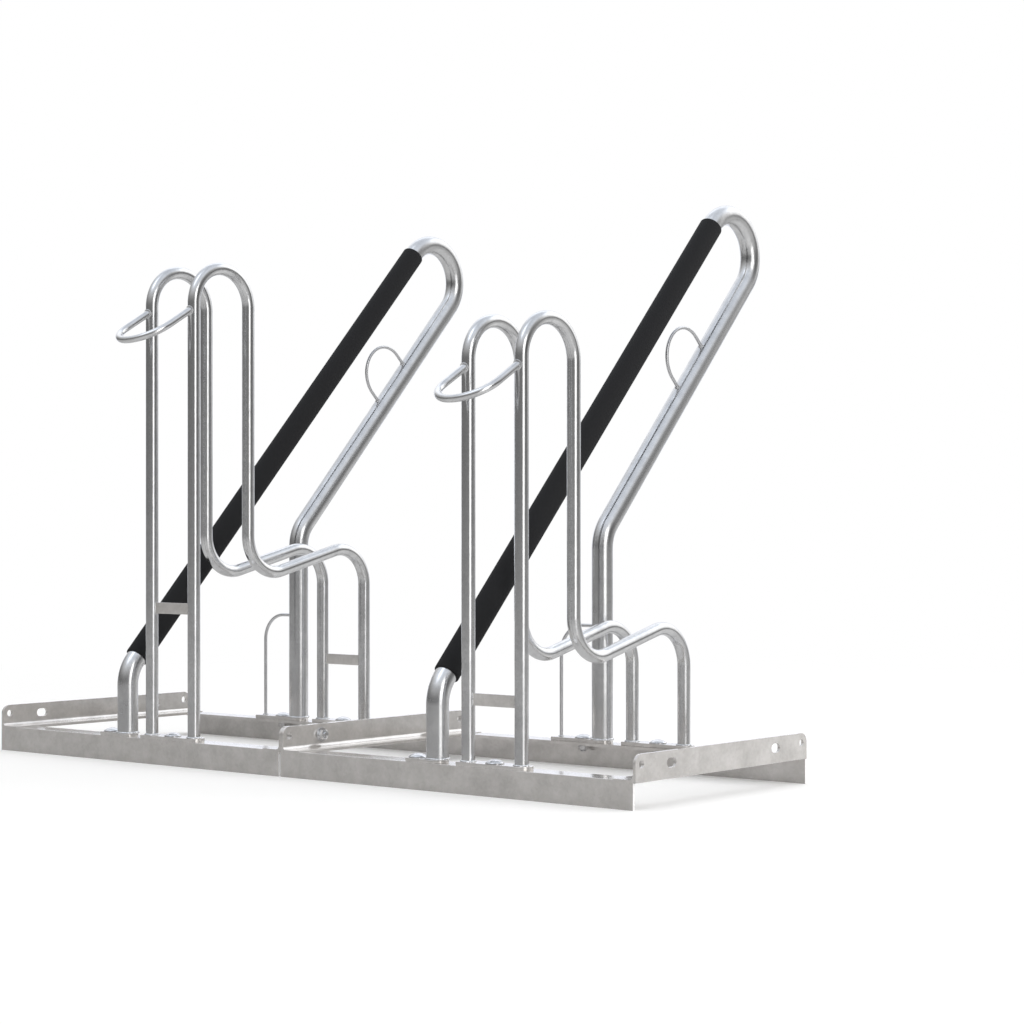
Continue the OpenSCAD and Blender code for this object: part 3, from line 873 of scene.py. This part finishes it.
class RACK_OT_lean_bars(bpy.types.Operator):
    """Tall bent bars, one in each module"""

    bl_idname = "rack.lean_bars"
    bl_label = "Lean Bars"

    def execute(self, context):
        finish = lean_finish(context.scene.rack)
        line = bent_line(lean_corners(), [LEAN_BEND, LEAN_TURN, LEAN_TURN, LEAN_BEND])
        for module in MODULES:
            shell = swept(*line, side_plane(lean_x(module)), LEAN_R, sides=64)
            new_piece(f"{module}_lean", shell, finish, [f"{module}_lean_bar"])
        return {"FINISHED"}


class RACK_OT_sleeves(bpy.types.Operator):
    """Black sleeves on the lean bars' front slopes"""

    bl_idname = "rack.sleeves"
    bl_label = "Sleeves"

    def execute(self, context):
        finish = sleeve_finish(context.scene.rack)
        front, top = lean_corners()[1:3]
        along = (top - front) / np.linalg.norm(top - front)
        # The lower bend ends its radius times the tangent of half its turn past the corner
        bend_end = LEAN_BEND * math.tan((math.pi / 2 - LEAN_SLOPE) / 2)
        start = front + along * (bend_end + SLEEVE_GAP)
        end = top - along * (LEAN_TURN + SLEEVE_GAP)
        radii, places = sleeve_profile(np.linalg.norm(end - start))
        points = start + places[:, None] * along
        tangents = np.broadcast_to(along, points.shape)
        for module in MODULES:
            shell = swept(points, tangents, side_plane(lean_x(module)), radii, sides=64)
            new_piece(f"{module}_sleeve", shell, finish, [f"{module}_lean_sleeve"])
        return {"FINISHED"}


class RACK_OT_hoops(bpy.types.Operator):
    """Wheel hoops between the front posts"""

    bl_idname = "rack.hoops"
    bl_label = "Wheel Hoops"

    def execute(self, context):
        finish = tube_finish(context.scene.rack)
        for module in MODULES:
            left, right = holder_x(module, "left"), holder_x(module, "right")
            half = (right - left) / 2
            height, down = hoop_line(module)
            place = ((left + right) / 2, FRONT_Y, height), (1, 0, 0), down
            start = HOLDER_R - HOOP_SINK
            reach = HOOP_SIDE + half
            corners = np.array([(-half, start), (-half, reach), (half, reach), (half, start)])
            shell = swept(*bent_line(corners, [half, half]), place, HOOP_R, sides=32)
            new_piece(f"{module}_hoop", shell, finish, [f"{module}_wheel_hoop"])
        return {"FINISHED"}


class RACK_OT_wires(bpy.types.Operator):
    """Eyelets and lower wire loops"""

    bl_idname = "rack.wires"
    bl_label = "Eyelets and Wire Loops"

    def execute(self, context):
        finish = wire_finish(context.scene.rack)
        turn = EYELET_TURN
        root = LEAN_R - WIRE_SINK
        corners = np.array([(-turn, root), (-turn, EYELET_REACH), (turn, EYELET_REACH), (turn, root)])
        eyelet_line = bent_line(corners, [turn, turn])
        for module in MODULES:
            shell = swept(*eyelet_line, eyelet_place(module), WIRE_R, sides=20)
            new_piece(f"{module}_eyelet", shell, finish, [f"{module}_lean_eyelet"])
            low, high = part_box(f"{module}_lower_wire_loop")
            upright, level = low.x + WIRE_R, high.z - WIRE_R
            corners = np.array([(upright, FOOT_TOP), (upright, level), (lean_x(module) - root, level)])
            place = (0, REAR_Y, 0), (1, 0, 0), (0, 0, 1)
            shell = swept(*bent_line(corners, [WIRE_BEND]), place, WIRE_R, sides=20)
            new_piece(f"{module}_wire_loop", shell, finish, [f"{module}_lower_wire_loop"])
        return {"FINISHED"}


class RACK_OT_angles(bpy.types.Operator):
    """Steel angles of the base: rails and side brackets"""

    bl_idname = "rack.angles"
    bl_label = "Rails and Brackets"

    def execute(self, context):
        settings = context.scene.rack
        softness = settings.edge_softness
        for module in MODULES:
            for name in ("front_rail", "rear_rail"):
                # The rails' end faces take a paler finish that paints the light falling on them
                soft_copy(f"{module}_{name}", angle_finish(settings), softness, lit_end_finish(settings))
            for name in ("left_bracket", "right_bracket"):
                soft_copy(f"{module}_{name}", angle_finish(settings), softness)
        return {"FINISHED"}


class RACK_OT_plates(bpy.types.Operator):
    """Foot plates and crossbars"""

    bl_idname = "rack.plates"
    bl_label = "Plates and Crossbars"

    def execute(self, context):
        settings = context.scene.rack
        plates = [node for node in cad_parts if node.endswith("_foot") or "crossbar" in node]
        for node in sorted(plates):
            soft_copy(node, angle_finish(settings), settings.edge_softness)
        return {"FINISHED"}


class RACK_OT_foot_bolts(bpy.types.Operator):
    """Domed bolts of the foot plates, with their washers and nuts"""

    bl_idname = "rack.foot_bolts"
    bl_label = "Foot Bolts"

    def execute(self, context):
        finish = bolt_finish(context.scene.rack)
        places = foot_bolt_places(FOOT_TOP)
        shank = upside_down(threaded(FOOT_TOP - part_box("foot_bolts")[0].z))
        bolts = merged([turned(dome_profile(), places), moved(shank, places)])
        new_piece("domed_bolts", bolts, finish, ["foot_bolts"])
        washers = moved(ring_washer(FOOT_WASHER_R), foot_bolt_places(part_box("foot_washers")[0].z))
        new_piece("under_washers", washers, finish, ["foot_washers"])
        nuts = moved(hexagon(NUT_H, NUT_HOLE_R), foot_bolt_places(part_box("foot_nuts")[0].z))
        new_piece("under_nuts", nuts, finish, ["foot_nuts"])
        return {"FINISHED"}


class RACK_OT_joint_fasteners(bpy.types.Operator):
    """Bolts, washers and nuts that join the two modules"""

    bl_idname = "rack.joint_fasteners"
    bl_label = "Joint Fasteners"

    def execute(self, context):
        finish = bolt_finish(context.scene.rack)
        low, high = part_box("joint_bolts")
        bolt_z = (low.z + high.z) / 2
        rows = (FRONT_FACE + JOINT_BOLT_INSET, REAR_FACE - JOINT_BOLT_INSET)

        def along_x(shell, x):
            return moved(laid_along_x(shell), [(x, y, bolt_z) for y in rows])

        head = along_x(upside_down(hexagon(HEAD_H), HEAD_H), low.x)
        shank = along_x(threaded(high.x - low.x - HEAD_H), low.x + HEAD_H)
        new_piece("joint_bolt_set", merged([head, shank]), finish, ["joint_bolts"])
        washer = ring_washer(JOINT_WASHER_R)
        low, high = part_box("joint_washers")
        washers = merged([along_x(washer, low.x), along_x(washer, high.x - WASHER_H)])
        new_piece("joint_washer_set", washers, finish, ["joint_washers"])
        nuts = along_x(hexagon(NUT_H, NUT_HOLE_R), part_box("joint_nuts")[0].x)
        new_piece("joint_nut_set", nuts, finish, ["joint_nuts"])
        return {"FINISHED"}


class RACK_OT_welds(bpy.types.Operator):
    """Weld beads at the posts' feet, hoops, crossbars and wires"""

    bl_idname = "rack.welds"
    bl_label = "Welds"

    # How far before its seam a bar's line starts, how far a crossbar's seam runs past the bar, and the size
    # of its bead as a share of the other bars' beads
    LEAD = 30 * MM
    OVERRUN = 0.5 * MM
    CROSSBAR_SHARE = 0.8

    def execute(self, context):
        settings = context.scene.rack
        finish = tube_finish(settings)
        big, small = settings.foot_bead, settings.bar_bead
        for module in MODULES:
            beads = self.foot_beads(module, big, small)
            beads += self.wire_beads(module, small)
            beads += self.hoop_beads(module, small)
            beads += self.crossbar_beads(module, small * self.CROSSBAR_SHARE)
            new_piece(f"{module}_welds", merged(beads), finish, [])
        return {"FINISHED"}

    def foot_beads(self, module, big, small):
        """Beads round the feet of a module's posts and of its lower wire loop."""
        beads = []
        for y in (FRONT_Y, REAR_Y):
            beads += [foot_bead(holder_x(module, side), y, HOLDER_R, big) for side in SIDES]
            beads.append(foot_bead(lean_x(module), y, LEAN_R, big))
        wire_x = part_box(f"{module}_lower_wire_loop")[0].x + WIRE_R
        beads.append(foot_bead(wire_x, REAR_Y, WIRE_R, small))
        return beads

    def wire_beads(self, module, size):
        """Beads where the lower wire loop meets the rear post, and the eyelet the rear slope."""
        post = np.array((lean_x(module), REAR_Y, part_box(f"{module}_lower_wire_loop")[1].z - WIRE_R))
        right = np.array((1.0, 0, 0))
        beads = [joint_bead(post - (LEAN_R + self.LEAD) * right, right, WIRE_R, post, UP, LEAN_R, size)]
        zero, along, off = (np.array(v, float) for v in eyelet_place(module))
        for side in (-1, 1):
            start = zero + side * EYELET_TURN * along + (LEAN_R + self.LEAD) * off
            beads.append(joint_bead(start, -off, WIRE_R, zero, along, LEAN_R, size))
        return beads

    def hoop_beads(self, module, size):
        """Beads where the wheel hoop meets the two front posts."""
        height, down = hoop_line(module)
        beads = []
        for side in SIDES:
            post = np.array((holder_x(module, side), FRONT_Y, height))
            start = post + (HOLDER_R + self.LEAD) * down
            beads.append(joint_bead(start, -down, HOOP_R, post, UP, HOLDER_R, size))
        return beads

    def crossbar_beads(self, module, size):
        """Beads up the four corners of each crossbar."""
        bars = [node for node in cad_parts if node.startswith(module) and node.endswith("crossbar")]
        beads = []
        for bar in sorted(bars):
            low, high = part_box(bar)
            for x in (low.x, high.x):
                for y in (low.y, high.y):
                    beads.append(upright_bead(x, y, low.z - self.OVERRUN, high.z + self.OVERRUN, size))
        return beads


class RACK_OT_stage(bpy.types.Operator):
    """White floor, studio light and camera"""

    bl_idname = "rack.stage"
    bl_label = "Stage"

    FLOOR_RADII = (0.01, 1.0, 2.0, 3.0)
    FLOOR_SIDES = 96

    # The room's brightness over the height, from straight down at 0 over level at 0.5 to straight up at 1
    ROOM = ((0.0, 0.60), (0.34, 0.58), (0.43, 0.51), (0.475, 0.36), (0.50, 0.22), (0.54, 0.14),
            (0.60, 0.20), (0.71, 0.44), (0.78, 0.62), (0.86, 0.84), (0.95, 0.80), (1.0, 0.70))

    # Panels of the room: azimuth, elevation, inner and outer radius in degrees, and what each adds to the
    # brightness
    PANELS = ((72, 26, 16, 30, 0.92), (125, 22, 22, 46, 0.6), (-102, 60, 8, 20, 0.9),
              (-15, 20, 5, 17, 0.75), (20, 20, 6, 18, -0.15), (-110, 78, 6, 18, 0.25))

    # The ceiling's cool share and the backdrop behind the rack: azimuth, elevation, inner and outer radius,
    # and colour
    CEILING = (0, 90, 25, 70)
    CEILING_TINT = (0.94, 1.0, 1.10, 1)
    BACKDROP = (130, 0, 20, 42)
    BACKDROP_WHITE = (0.97, 1.0, 1.09, 1)
    PLAIN_WHITE = (1, 1, 1, 1)

    # The camera that the photo's straight edges give: level, with its sensor and lens in millimetres and its
    # shift as a share of the frame
    CAMERA_PLACE = (2.258444, -2.602468, 0.346561)
    CAMERA_TURN = math.radians(39.3026)
    SENSOR_WIDTH = 36
    LENS = 81.87
    SHIFT = (-0.0005, 0.0107)

    def execute(self, context):
        scene = context.scene
        scene.view_settings.view_transform = "Standard"
        floor = self.floor()
        self.room(scene)
        self.lamp("Key Lamp", azimuth=-20, distance=4.2, height=1.0, width=1.9, tall=4.2,
                  power=scene.rack.key_power)
        self.lamp("Fill Lamp", azimuth=28, distance=3.4, height=1.5, width=2.0, tall=2.0,
                  power=scene.rack.fill_power, mirrored=False)
        self.camera(scene)
        return {"FINISHED"}

    def floor(self):
        """A round floor that faces up: rings of points at each radius, and one face in the middle."""
        ways = circle_ways(self.FLOOR_SIDES)
        points = np.concatenate([radius * ways for radius in self.FLOOR_RADII])
        rings = ring_faces(len(self.FLOOR_RADII), self.FLOOR_SIDES)[:, ::-1].tolist()
        mesh = bpy.data.meshes.new("floor")
        mesh.from_pydata(points, [], rings + [list(range(self.FLOOR_SIDES))])
        mesh.materials.append(floor_finish())
        floor = bpy.data.objects.new("floor", mesh)
        bpy.context.scene.collection.objects.link(floor)
        return floor

    def room(self, scene):
        """A studio: a white backdrop behind the rack, a grey room before it and a bright ceiling."""
        world = bpy.data.worlds.new("Studio")
        scene.world = world
        world.use_nodes = True
        tree = world.node_tree
        way = add_node(tree, "ShaderNodeTexCoord").outputs["Generated"]
        height = add_node(tree, "ShaderNodeSeparateXYZ")
        tree.links.new(way, height.inputs[0])
        ramp = add_node(tree, "ShaderNodeValToRGB")
        elements = ramp.color_ramp.elements
        while len(elements) < len(self.ROOM):
            elements.new(0.5)
        for element, (at, brightness) in zip(elements, self.ROOM):
            element.position = at
            element.color = grey(brightness)
        tree.links.new(math_node(tree, "MULTIPLY_ADD", height.outputs["Z"], 0.5, 0.5), ramp.inputs[0])

        level = ramp.outputs[0]
        for *shape, glare in self.PANELS:
            level = math_node(tree, "MULTIPLY_ADD", patch(tree, way, *shape), glare, level)
        camera, mirrored = ray_masks(tree)
        ceiling = math_node(tree, "MULTIPLY", mirrored, patch(tree, way, *self.CEILING))
        level = mixed(tree, "RGBA", ceiling, level, self.CEILING_TINT, blend="MULTIPLY")
        backdrop = math_node(tree, "MULTIPLY", mirrored, patch(tree, way, *self.BACKDROP))
        level = mixed(tree, "RGBA", backdrop, level, self.BACKDROP_WHITE)
        level = mixed(tree, "RGBA", camera, level, self.PLAIN_WHITE)
        tree.links.new(level, tree.nodes["Background"].inputs["Color"])

    def lamp(self, name, azimuth, distance, height, width, tall, power, mirrored=True):
        """A soft lamp that stands upright at an azimuth and faces the rack."""
        light = bpy.data.lights.new(name, "AREA")
        light.shape = "RECTANGLE"
        light.size = width
        light.size_y = tall
        light.energy = power
        lamp = bpy.data.objects.new(name, light)
        turn = math.radians(azimuth)
        lamp.location = (distance * math.cos(turn), distance * math.sin(turn), height)
        lamp.rotation_euler = (math.pi / 2, 0, turn + math.pi / 2)
        lamp.visible_camera = False
        lamp.visible_glossy = mirrored
        bpy.context.scene.collection.objects.link(lamp)

    def camera(self, scene):
        """The camera at the photo's place."""
        view = bpy.data.cameras.new("Camera")
        view.sensor_width = self.SENSOR_WIDTH
        view.lens = self.LENS
        view.shift_x, view.shift_y = self.SHIFT
        view.clip_start = 0.05
        camera = bpy.data.objects.new("Camera", view)
        camera.location = self.CAMERA_PLACE
        camera.rotation_euler = (math.pi / 2, 0, self.CAMERA_TURN)
        scene.collection.objects.link(camera)
        scene.camera = camera


class RACK_PT_panel(bpy.types.Panel):
    """Settings of the rack, and a button for each group of pieces"""

    bl_idname = "RACK_PT_panel"
    bl_label = "Bike Rack"
    bl_space_type = "VIEW_3D"
    bl_region_type = "UI"
    bl_category = "Bike Rack"

    def draw(self, context):
        for name in RackSettings.__annotations__:
            self.layout.prop(context.scene.rack, name)
        for operator in OPERATORS:
            self.layout.operator(operator.bl_idname)


OPERATORS = (
    RACK_OT_holder_tubes, RACK_OT_lean_bars, RACK_OT_sleeves, RACK_OT_hoops, RACK_OT_wires, RACK_OT_angles,
    RACK_OT_plates, RACK_OT_foot_bolts, RACK_OT_joint_fasteners, RACK_OT_welds, RACK_OT_stage)
CLASSES = (RackSettings, *OPERATORS, RACK_PT_panel)


def register():
    for each in CLASSES:
        bpy.utils.register_class(each)
    bpy.types.Scene.rack = PointerProperty(type=RackSettings)


def unregister():
    del bpy.types.Scene.rack
    for each in reversed(CLASSES):
        bpy.utils.unregister_class(each)


def main():
    """Calls each operator in turn."""
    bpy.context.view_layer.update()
    register()
    for operator in OPERATORS:
        group, name = operator.bl_idname.split(".")
        getattr(getattr(bpy.ops, group), name)()


if __name__ == "__main__":
    main()
